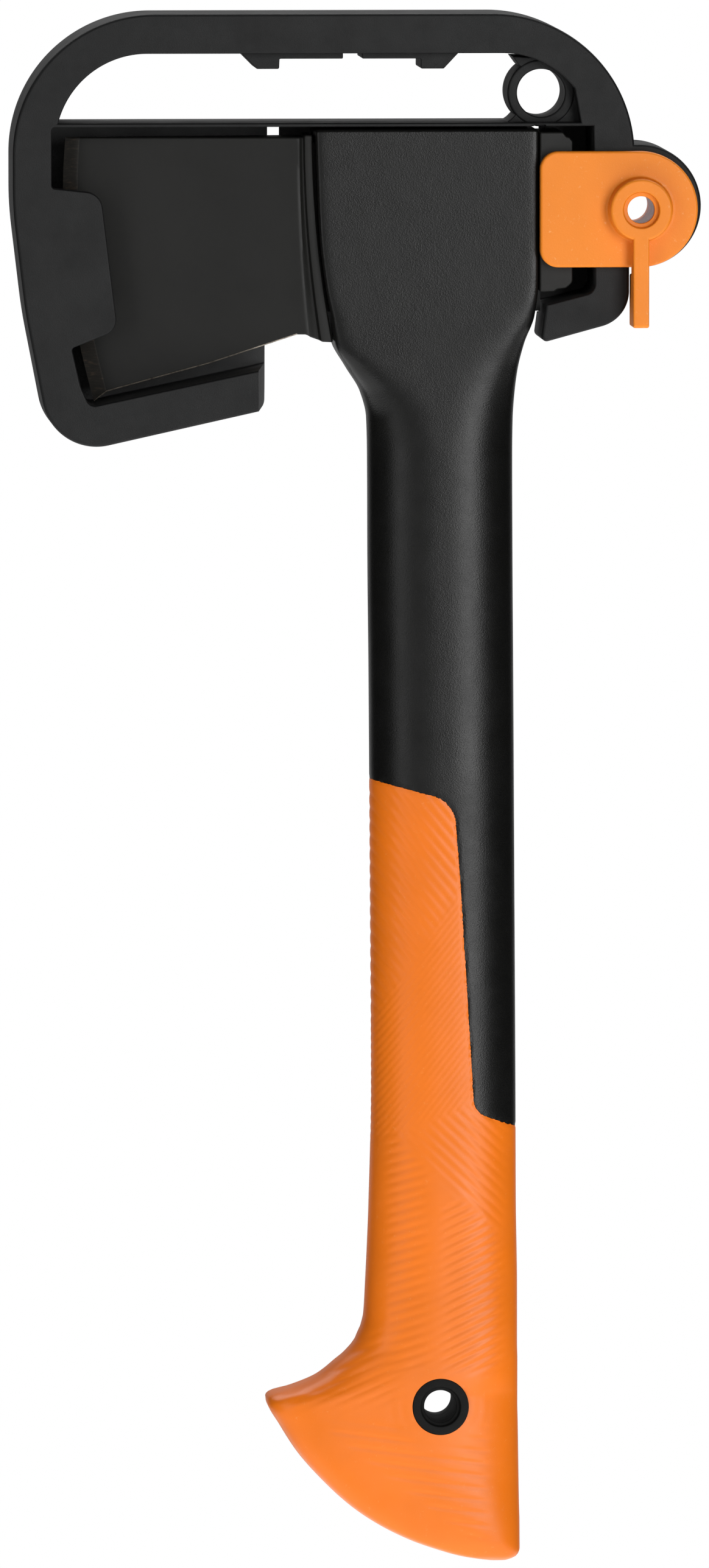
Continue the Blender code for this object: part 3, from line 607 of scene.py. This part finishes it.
def axe_head():
    """The steel: cutting edge, ground bevel, wedge, ridge and shoulder band, web and poll."""
    loops = []
    for here, after in zip(HEAD_LINES, HEAD_LINES[1:]):
        for k in range(here[4]):
            share = k / here[4]
            mixed = [np.array(a) * (1 - share) + np.array(b) * share for a, b in zip(here[:3], after[:3])]
            loops.append(column_loop(*mixed, here[3] * (1 - share) + after[3] * share))
    loops.append(column_loop(*HEAD_LINES[-1][:4]))
    made = grid_mesh("head_steel", np.array(loops))
    web = block("web", (-3.0, 0.1 - WEB_HALF, WEB_BOTTOM + 0.1), (46.6, WEB_HALF - 0.1, WEB_TOP - 0.1))
    poll = rounded((
        (46.05, -19.5, 0.5), (51.8, -19.5, 0.8), (52.6, -20.6, 0.6), (53.4, -20.8, 0.8), (54.2, -21.8, 1.0),
        (54.2, -56.6, 1.6), (52.6, -58.0, 1.0), (50.4, -58.3, 0.7), (49.6, -58.9, 0.6), (46.05, -58.9, 0.5),
    ))
    poll = solid("poll", poll, body_levels(-POLL_HALF, POLL_HALF, 0.5, 0.5))
    combine(made, "UNION", [web, poll])
    made = as_piece(made, "axe_head", coated_steel(), degrees=24.0)
    made.data.materials.append(ground_steel())
    made.data.materials.append(worn_steel_and_painted_highlight())
    bevel_top, bevel_pull, bevel_bottom = HEAD_LINES[1][:3]
    for face in made.data.polygons:
        x, _, z = face.center / MM
        share = np.clip((bevel_top[1] - z) / (bevel_top[1] - bevel_bottom[1]), 0.0, 1.0)
        bevel = on_curve(bevel_top[0], bevel_pull[0], bevel_bottom[0], share) + 0.2
        # Down-facing faces of the lower edge get the tan steel: rubbed coating plus a painted highlight of
        # light from below.
        if face.normal.z < -0.25 and x < -14.0 and z < -60.0:
            face.material_index = 2
        elif x < bevel:
            face.material_index = 1
    return made


# ---------------------------------------------------------------- handle


def smooth_through(x, known_x, known):
    """A smooth curve through known points that never overshoots them, read at x. Both x rise."""
    step = np.diff(known_x)
    slope = np.diff(known) / step
    tangent = np.concatenate((slope[:1], np.zeros(len(known) - 2), slope[-1:]))
    first = 2 * step[1:] + step[:-1]
    second = step[1:] + 2 * step[:-1]
    same = slope[:-1] * slope[1:] > 0
    tangent[1:-1][same] = ((first + second)[same] / (first / np.where(same, slope[:-1], 1.0)
                                                      + second / np.where(same, slope[1:], 1.0))[same])
    i = np.clip(np.searchsorted(known_x, x) - 1, 0, len(step) - 1)
    t = (x - known_x[i]) / step[i]
    rise = known[i + 1] - known[i]
    return (known[i] + rise * (3 * t ** 2 - 2 * t ** 3)
            + step[i] * (tangent[i] * (t ** 3 - 2 * t ** 2 + t) + tangent[i + 1] * (t ** 3 - t ** 2)))


def handle_loops(heights, insets, columns):
    """Loops round the handle at the heights, drawn in by the insets, with evenly spaced points."""
    table = np.array(HANDLE_STATIONS)[::-1]
    front, back, half, square_front, square_back = (
        smooth_through(heights, table[:, 0], table[:, k]) for k in range(1, 6))
    angles = np.linspace(0.0, 2 * math.pi, 2880, endpoint=False)
    across, deep = np.cos(angles), np.sin(angles)
    loops = []
    for k, z in enumerate(heights):
        power = np.where(across < 0, 2.0 / square_front[k], 2.0 / square_back[k])
        middle, reach = (front[k] + back[k]) / 2, (back[k] - front[k]) / 2
        x = middle + (reach - insets[k]) * np.sign(across) * abs(across) ** power
        y = (half[k] - insets[k]) * np.sign(deep) * abs(deep) ** power
        x, y = np.append(x, x[0]), np.append(y, y[0])
        step_x, step_y = np.diff(x), np.diff(y)
        heading = np.unwrap(np.arctan2(step_y, step_x))
        turning = abs(np.diff(heading, append=heading[0] + 2 * math.pi))
        length = np.concatenate(((0.0,), np.cumsum(np.hypot(step_x, step_y) + CORNER_SHARE * turning)))
        even = np.linspace(0.0, length[-1], columns, endpoint=False)
        places = np.interp(even, length, x), np.interp(even, length, y), np.full(columns, z)
        loops.append(np.column_stack(places))
    return np.array(loops)


def normals(rings):
    """Unit normals of a grid of rings, pointing outwards."""
    round_it = np.roll(rings, -1, axis=1) - np.roll(rings, 1, axis=1)
    down = np.gradient(rings, axis=0)
    normal = np.cross(round_it, down)
    normal /= np.linalg.norm(normal, axis=2)[:, :, None] + 1e-9
    outward = ((rings - rings.mean(axis=1)[:, None]) * normal).sum()
    return normal if outward > 0 else -normal


def above_line(x, z, left, right):
    """How far a point lies above the line between two points, left to right."""
    dx, dz = right[0] - left[0], right[1] - left[1]
    return ((z - left[1]) * dx - (x - left[0]) * dz) / math.hypot(dx, dz)


def step_up(distance, softness=0.5):
    """0 well below, 1 well above, and a soft step in between."""
    return 1.0 / (1.0 + np.exp(-np.clip(distance / softness, -30.0, 30.0)))


def grooves(x, z, angle, pitch, width):
    """1 along straight lines at an angle in degrees, soft to 0 between them."""
    turn = math.radians(angle)
    across = z * math.cos(turn) - x * math.sin(turn)
    off = (across / pitch + 0.5) % 1.0 - 0.5
    return np.exp(-(off * pitch / width) ** 2)


def grip_relief(x, z):
    """Depth in millimetres of the grip's groove pattern, which is the same on both sides."""
    chevron = above_line(x, z, (8.6, -233.6), (27.0, -205.4))
    middle = above_line(x, z, (6.8, -268.8), (29.3, -260.5))
    diagonal = above_line(x, z, (12.0, -268.5), (35.3, -291.0))
    back_fade = step_up(36.5 - x, 0.9)

    # Three fields one below the other
    relief = 0.15 * grooves(x, z, -50.0, 2.2, 0.42) * step_up(chevron) * step_up(-182.0 - z)
    relief += 0.08 * grooves(x, z, 52.0, 1.35, 0.32) * step_up(-chevron) * step_up(middle)
    relief += 0.14 * grooves(x, z, -43.0, 2.2, 0.42) * step_up(-middle) * step_up(diagonal) * back_fade

    # Two columns of finger grooves down the front and the back, and the flare into the beak
    below_diagonal = step_up(-diagonal - 0.8) * step_up(z + 326.0, 0.8)
    front_column = step_up(x - 8.8) * step_up(18.0 - x, 0.9) * below_diagonal
    back_column = step_up(x - 23.0, 0.9) * back_fade * step_up(-284.0 - z) * below_diagonal
    relief += 0.16 * grooves(x, z, 17.0, 2.35, 0.5) * front_column
    relief += 0.22 * grooves(x, z, 25.0, 2.1, 0.45) * back_column
    flare = step_up(-316.0 - z, 1.5) * step_up(z + 335.0, 1.0) * step_up(10.0 - x, 1.5)
    relief += 0.11 * grooves(x, z, 24.0, 2.3, 0.5) * flare

    # The pommel, up to the lanyard boss and the ripples round it
    from_ring = np.hypot(x - LANYARD[0], z - LANYARD[1])
    clear_of_ring = step_up(from_ring - 11.5, 0.7)
    above_rim = above_line(x, z, (-21.0, -332.0), (32.0, -373.0)) - 2.5
    pommel = step_up(-339.5 - z, 0.9) * step_up(33.0 - x, 1.0) * step_up(above_rim)
    relief += 0.2 * grooves(x, z, -8.0, 3.05, 0.45) * pommel * clear_of_ring
    ripple = np.exp(-((from_ring - 9.6) / 0.6) ** 2) + 0.7 * np.exp(-((from_ring - 12.2) / 0.6) ** 2)
    return relief + 0.05 * ripple * step_up(0.3 * from_ring - abs(z - LANYARD[1] + 1.0), 0.8)


def seam_distance(x, z):
    """Distance in the side view from the line where grip and handle meet."""
    line = rounded(GRIP_LINE)
    nearest = np.full(x.shape, 99.0)
    for a, b in zip(line, np.roll(line, -1, axis=0)):
        along = b - a
        share = np.clip(((x - a[0]) * along[0] + (z - a[1]) * along[1]) / (along @ along), 0.0, 1.0)
        nearest = np.minimum(nearest, np.hypot(x - a[0] - share * along[0], z - a[1] - share * along[1]))
    return nearest


def handle_form(name, top, bottom, row_step, columns, relief=None):
    """The handle's outer form between two heights, with rounded ends where the handle itself ends."""
    heights = np.linspace(bottom, top, math.ceil((top - bottom) / row_step))
    insets = np.zeros(len(heights))
    if top > HANDLE_TOP - 0.1:
        ends = quarter(0.9, 6)
        heights = np.concatenate((heights[heights < top - 1.0], [top - down for down, _ in reversed(ends)]))
        insets = np.concatenate((np.zeros(len(heights) - len(ends)), [side for _, side in reversed(ends)]))
    if bottom < HANDLE_BOTTOM + 0.1:
        insets = np.maximum(insets, 0.5 * np.clip(1.0 - (heights - bottom) / 0.6, 0.0, 1.0) ** 2)
    loops = handle_loops(heights, insets, columns)
    x, z = loops[:, :, 0], loops[:, :, 2]
    depth = 0.16 * np.exp(-(seam_distance(x, z) / 0.3) ** 2)
    if relief is not None:
        depth = depth + relief(x, z)
    return grid_mesh(name, loops - normals(loops) * depth[:, :, None])


def grip_plate(name, growth):
    """The grip's side view as a thick plate with the slightly ragged edge of an overmould."""
    line = rounded(GRIP_LINE)
    after = np.roll(line, -1, axis=0)
    dense = []
    for a, b in zip(line, after):
        count = max(1, math.ceil(np.linalg.norm(b - a) / 0.35)) if a[1] > -268.0 and b[1] > -268.0 else 1
        dense += [a + (b - a) * k / count for k in range(count)]
    dense = np.array(dense)
    ragged = np.random.default_rng(5).normal(0.0, 0.06, dense.shape)
    ragged[dense[:, 1] < -267.5] = 0.0
    return solid(name, grown(dense + ragged, growth), [(-25.0, 0.0), (25.0, 0.0)])


def lanyard_boss():
    """The black ring through the pommel, with a stepped mouth at the front end of its hole."""
    radius, reach, hole = LANYARD_BOSS_RADIUS, LANYARD_BOSS_REACH, LANYARD_HOLE_RADIUS
    return turned("lanyard_boss", LANYARD, rounded((
        (radius, -reach, 0.2), (radius, reach, 0.2), (hole, reach, 0.3), (hole, -reach + 1.5, 0.3),
        (hole + 0.75, -reach + 1.2, 0.2), (hole + 1.0, -reach, 0.25),
    )), 128)


def handle_core():
    """The black handle: head wrap, throat and back, and the lanyard boss moulded with it."""
    made = handle_form("handle_black", HANDLE_TOP, HANDLE_BLACK_END, 0.8, 200)
    half = WEB_HALF + GAP
    tunnel = block("web_tunnel", (-25.0, -half, WEB_BOTTOM - GAP), (60.0, half, WEB_TOP + GAP))
    combine(made, "DIFFERENCE", [grip_plate("grip_room", 0.08), tunnel])
    join(made, [lanyard_boss()])
    made = as_piece(made, "handle_core", handle_plastic())
    made.data.materials.append(boss_plastic())
    for face in made.data.polygons:
        x, _, z = face.center / MM
        from_hole = math.hypot(x - LANYARD[0], z - LANYARD[1])
        face.material_index = int(from_hole < LANYARD_BOSS_RADIUS + 0.25)
    return made


def handle_grip():
    """The orange overmould with its grooves: front of the handle, all of the pommel and its beak."""
    row_step = 0.46
    columns = 236
    made = handle_form("grip_orange", GRIP_TOP, HANDLE_BOTTOM, row_step, columns, grip_relief)
    combine(made, "INTERSECT", [grip_plate("grip_region", 0.0)])
    hole = cylinder("boss_room", LANYARD, LANYARD_BOSS_RADIUS + 0.08, -15.0, 15.0)
    combine(made, "DIFFERENCE", [hole])
    return as_piece(made, "handle_grip", grip_plastic())


# ---------------------------------------------------------------- materials


def new_material(name, colour, roughness, metallic=0.0, specular=0.5):
    """A Principled material with object coordinates at hand."""
    made = bpy.data.materials.new(name)
    made.use_nodes = True
    shader = made.node_tree.nodes["Principled BSDF"]
    shader.inputs["Base Color"].default_value = (*colour, 1.0)
    shader.inputs["Roughness"].default_value = roughness
    shader.inputs["Metallic"].default_value = metallic
    shader.inputs["Specular IOR Level"].default_value = specular
    place = made.node_tree.nodes.new("ShaderNodeTexCoord").outputs["Object"]
    return made, shader, place


def noise(material, place, per_metre, detail=2.0, roughness=0.5, stretch=None):
    """A noise of so many features a metre, 0 to 1."""
    nodes, links = material.node_tree.nodes, material.node_tree.links
    if stretch is not None:
        mapping = nodes.new("ShaderNodeMapping")
        mapping.inputs["Scale"].default_value = stretch
        links.new(place, mapping.inputs["Vector"])
        place = mapping.outputs["Vector"]
    texture = nodes.new("ShaderNodeTexNoise")
    texture.inputs["Scale"].default_value = per_metre
    texture.inputs["Detail"].default_value = detail
    texture.inputs["Roughness"].default_value = roughness
    links.new(place, texture.inputs["Vector"])
    return texture.outputs["Fac"]


def cells(material, place, per_metre):
    """Rounded grains of so many a metre, 0 in their middle."""
    texture = material.node_tree.nodes.new("ShaderNodeTexVoronoi")
    texture.feature = "SMOOTH_F1"
    texture.inputs["Scale"].default_value = per_metre
    texture.inputs["Smoothness"].default_value = 0.6
    material.node_tree.links.new(place, texture.inputs["Vector"])
    return texture.outputs["Distance"]


def ramp(material, value, stops):
    """Colours or greys read off a ramp at a 0 to 1 value."""
    node = material.node_tree.nodes.new("ShaderNodeValToRGB")
    elements = node.color_ramp.elements
    while len(elements) < len(stops):
        elements.new(0.5)
    for element, (position, colour) in zip(elements, stops):
        element.position = position
        element.color = (*colour, 1.0) if isinstance(colour, tuple) else (colour, colour, colour, 1.0)
    material.node_tree.links.new(value, node.inputs["Fac"])
    return node.outputs["Color"]


def bumps(material, shader, layers):
    """Bump layers of (height, depth in millimetres), one over the other."""
    links = material.node_tree.links
    below = None
    for height, depth in layers:
        node = material.node_tree.nodes.new("ShaderNodeBump")
        node.inputs["Strength"].default_value = 1.0
        node.inputs["Distance"].default_value = depth * MM
        links.new(height, node.inputs["Height"])
        if below is not None:
            links.new(below, node.inputs["Normal"])
        below = node.outputs["Normal"]
    links.new(below, shader.inputs["Normal"])


def shades(colour, spread):
    """A darker, the plain and a lighter version of a colour."""
    return [tuple(channel * share for channel in colour) for share in (1 - spread, 1.0, 1 + spread)]


def moulded(name, colour, roughness, grain, grain_depth, specular=0.5, gloss_spread=0.06):
    """Moulded plastic: grained surface, faint clouds in its colour, and patches rubbed smoother."""
    made, shader, place = new_material(name, colour, roughness, specular=specular)
    links = made.node_tree.links
    dark, plain, light = shades(colour, 0.12)
    clouds = ramp(made, noise(made, place, 55.0, 4.0, 0.6), ((0.3, dark), (0.5, plain), (0.72, light)))
    links.new(clouds, shader.inputs["Base Color"])
    rubbed = ramp(made, noise(made, place, 120.0, 5.0, 0.65),
                  ((0.3, roughness + gloss_spread), (0.7, roughness - gloss_spread)))
    links.new(rubbed, shader.inputs["Roughness"])
    bumps(made, shader, ((noise(made, place, 140.0, 2.0), 0.05), (cells(made, place, grain), grain_depth),
                         (noise(made, place, grain * 1.7, 3.0, 0.6), grain_depth * 0.6)))
    return made


def sheath_plastic():
    """Charcoal polypropylene with a fine spark-eroded grain."""
    return moulded("sheath_plastic_look", (0.0042, 0.0044, 0.0045), 0.58, 3000.0, 0.02, specular=0.265)


def pocket_painted_light_plastic():
    """The same plastic made paler and shinier inside the tray: painted light standing in for the light its
    walls and the blade keep out.
    """
    return moulded("pocket_painted_light_plastic_look", (0.015, 0.0155, 0.016), 0.6, 3000.0, 0.02, specular=0.55)


def handle_plastic():
    """Satin black glass-filled nylon with a leather grain."""
    colour = (0.0036, 0.0036, 0.0033)
    return moulded("handle_plastic_look", colour, 0.345, 3000.0, 0.025, specular=0.285, gloss_spread=0.04)


def boss_plastic():
    """The lanyard boss, the same nylon left rough by its mould."""
    return moulded("boss_plastic_look", (0.0045, 0.0045, 0.0042), 0.7, 2600.0, 0.03, specular=0.16)


def orange(name, colour, roughness, specular, grain_depth, speck):
    """Orange plastic with soft clouds, fine grain and small pale scuffs."""
    made, shader, place = new_material(name, colour, roughness, specular=specular)
    links = made.node_tree.links
    dark, plain, light = shades(colour, 0.05)
    clouds = ramp(made, noise(made, place, 45.0, 3.0, 0.55), ((0.3, dark), (0.5, plain), (0.7, light)))
    scuffs = ramp(made, noise(made, place, 900.0, 6.0, 0.75), ((0.60, 0.0), (0.78, speck)))
    mixed = made.node_tree.nodes.new("ShaderNodeMix")
    mixed.data_type = "RGBA"
    mixed.inputs["B"].default_value = (0.85, 0.42, 0.16, 1.0)
    links.new(scuffs, mixed.inputs["Factor"])
    links.new(clouds, mixed.inputs["A"])
    links.new(mixed.outputs["Result"], shader.inputs["Base Color"])
    patches = noise(made, place, 160.0, 5.0, 0.6)
    rubbed = ramp(made, patches, ((0.3, roughness + 0.05), (0.7, roughness - 0.05)))
    links.new(rubbed, shader.inputs["Roughness"])
    bumps(made, shader, ((noise(made, place, 180.0, 2.0), 0.03), (cells(made, place, 2600.0), grain_depth)))
    return made


def grip_plastic():
    """Soft-touch orange overmould."""
    return orange("grip_plastic_look", (0.77, 0.166, 0.007), 0.38, 0.31, 0.006, 0.35)


def latch_plastic():
    """Orange latch with the frosted marks of a worn moulding."""
    return orange("latch_plastic_look", (0.80, 0.225, 0.015), 0.45, 0.28, 0.012, 0.9)


def pivot_plastic():
    """Orange plastic of the bush, smooth in its bore."""
    return orange("pivot_plastic_look", (0.77, 0.225, 0.02), 0.25, 0.5, 0.003, 0.3)


def coated_steel():
    """Dark low-friction coating on the forged head."""
    colour = (0.0075, 0.0075, 0.0067)
    made, shader, place = new_material("coated_steel_look", colour, 0.5, specular=0.26)
    links = made.node_tree.links
    dark, plain, light = shades(colour, 0.16)
    clouds = ramp(made, noise(made, place, 40.0, 5.0, 0.6), ((0.3, dark), (0.5, plain), (0.75, light)))
    links.new(clouds, shader.inputs["Base Color"])
    rubbed = ramp(made, noise(made, place, 90.0, 5.0, 0.7), ((0.3, 0.55), (0.7, 0.44)))
    links.new(rubbed, shader.inputs["Roughness"])
    bumps(made, shader, ((noise(made, place, 60.0, 2.0), 0.06), (noise(made, place, 2600.0, 3.0, 0.7), 0.012),
                         (cells(made, place, 900.0), 0.006)))
    return made


def ground_steel():
    """The ground cutting bevel: brownish steel with fine grinding marks."""
    colour = (0.018, 0.016, 0.0135)
    made, shader, place = new_material("ground_steel_look", colour, 0.42, specular=0.35)
    links = made.node_tree.links
    marks = noise(made, place, 900.0, 4.0, 0.7, stretch=(0.12, 1.0, 1.6))
    dark, light = (0.012, 0.011, 0.0095), (0.07, 0.050, 0.034)
    links.new(ramp(made, marks, ((0.35, dark), (0.55, colour), (0.8, light))), shader.inputs["Base Color"])
    links.new(ramp(made, marks, ((0.3, 0.5), (0.7, 0.34))), shader.inputs["Roughness"])
    bumps(made, shader, ((marks, 0.02),))
    return made


def worn_steel_and_painted_highlight():
    """Tan steel on the down-facing faces of the blade's lower edge: partly coating rubbed off the edge,
    partly a painted highlight of light reflected up from below.
    """
    colour = (0.24, 0.21, 0.17)
    made, shader, place = new_material("worn_steel_and_painted_highlight_look", colour, 0.4, metallic=0.6)
    links = made.node_tree.links
    patches = noise(made, place, 700.0, 5.0, 0.7)
    dark, light = (0.05, 0.045, 0.038), (0.40, 0.35, 0.29)
    links.new(ramp(made, patches, ((0.3, dark), (0.5, colour), (0.8, light))), shader.inputs["Base Color"])
    links.new(ramp(made, patches, ((0.3, 0.5), (0.7, 0.32))), shader.inputs["Roughness"])
    bumps(made, shader, ((patches, 0.03),))
    return made


# ---------------------------------------------------------------- studio


def around(azimuth, elevation, distance, target):
    """A place at this distance from a target; azimuth 0 is in front of it, and positive is towards +X."""
    a, e = math.radians(azimuth), math.radians(elevation)
    back = np.array((math.sin(a) * math.cos(e), -math.cos(a) * math.cos(e), math.sin(e)))
    return np.array(target) + back * distance


def aimed(made, place, target):
    """Put an object at a place, looking at a target."""
    made.location = place
    made.rotation_mode = "QUATERNION"
    made.rotation_quaternion = (Vector(target) - Vector(place)).to_track_quat("-Z", "Y")
    bpy.context.scene.collection.objects.link(made)
    return made


def softbox(name, azimuth, elevation, distance, width, height, power):
    """A rectangular area light that shines on the middle of the object."""
    light = bpy.data.lights.new(name, "AREA")
    light.shape = "RECTANGLE"
    light.size = width
    light.size_y = height
    light.energy = power
    made = bpy.data.objects.new(name, light)
    middle = (0.0, 0.0, -0.17)
    made.visible_camera = False
    return aimed(made, around(azimuth, elevation, distance, middle), middle)


def backdrop():
    """A white background, which lights the object only from behind; the rest of the room is dim."""
    world = bpy.data.worlds.new("studio")
    bpy.context.scene.world = world
    world.use_nodes = True
    nodes, links = world.node_tree.nodes, world.node_tree.links
    nodes.clear()
    direction = nodes.new("ShaderNodeTexCoord").outputs["Generated"]
    split = nodes.new("ShaderNodeSeparateXYZ")
    links.new(direction, split.inputs["Vector"])
    fade = nodes.new("ShaderNodeMapRange")
    fade.interpolation_type = "SMOOTHSTEP"
    fade.inputs["From Min"].default_value = 0.72
    fade.inputs["From Max"].default_value = 0.92
    fade.inputs["To Min"].default_value = 0.02
    fade.inputs["To Max"].default_value = 0.4
    links.new(split.outputs["Y"], fade.inputs["Value"])
    seen = nodes.new("ShaderNodeLightPath").outputs["Is Camera Ray"]
    choose = nodes.new("ShaderNodeMath")
    choose.operation = "MAXIMUM"
    links.new(seen, choose.inputs[0])
    links.new(fade.outputs["Result"], choose.inputs[1])
    shine = nodes.new("ShaderNodeBackground")
    shine.inputs["Color"].default_value = (1.0, 1.0, 1.0, 1.0)
    links.new(choose.outputs["Value"], shine.inputs["Strength"])
    out = nodes.new("ShaderNodeOutputWorld")
    links.new(shine.outputs["Background"], out.inputs["Surface"])


def floor():
    """A white disc well below the hanging object, which lights it softly from underneath."""
    angles = np.linspace(0.0, 2 * math.pi, 72, endpoint=False)
    radius, thick = 1500.0, 10.0
    below_object = 550.0
    rim = np.column_stack((radius * np.cos(angles), radius * np.sin(angles)))
    top = cad_low.z / MM - below_object
    rings = np.array([np.column_stack((rim, np.full(len(rim), z))) for z in (top, top - thick)])
    made = grid_mesh("floor", rings)
    paint, shader, place = new_material("floor_paint", (0.9, 0.9, 0.9), 0.8)
    shader.inputs["Emission Color"].default_value = (1.0, 1.0, 1.0, 1.0)
    shader.inputs["Emission Strength"].default_value = 1.0
    clouds = ramp(paint, noise(paint, place, 4.0), ((0.3, 0.88), (0.7, 0.92)))
    paint.node_tree.links.new(clouds, shader.inputs["Base Color"])
    made.data.materials.append(paint)


def camera():
    """A long lens, a little above and to the left of straight on."""
    data = bpy.data.cameras.new("camera")
    data.lens = 426.6
    data.sensor_width = 36.0
    data.clip_end = 50.0
    made = bpy.data.objects.new("camera", data)
    target = (0.001, 0.0, (cad_low.z + cad_high.z) / 2 + 0.0009)
    aimed(made, around(-3.4, 4.4, 4.6, target), target)
    bpy.context.scene.camera = made


def studio():
    """Backdrop, floor, lights and camera."""
    backdrop()
    floor()
    softbox("key", azimuth=23.0, elevation=6.0, distance=2.4, width=0.8, height=2.0, power=40.0)
    softbox("front", azimuth=-4.0, elevation=8.0, distance=2.6, width=2.2, height=2.0, power=5.0)
    softbox("fill", azimuth=-38.0, elevation=8.0, distance=2.4, width=0.8, height=2.0, power=11.5)
    softbox("above", azimuth=180.0, elevation=60.0, distance=2.2, width=3.4, height=1.2, power=48.0)
    bpy.context.scene.view_settings.view_transform = "Standard"
    camera()


sheath_body()
latch()
latch_pivot()
axe_head()
handle_core()
handle_grip()
studio()
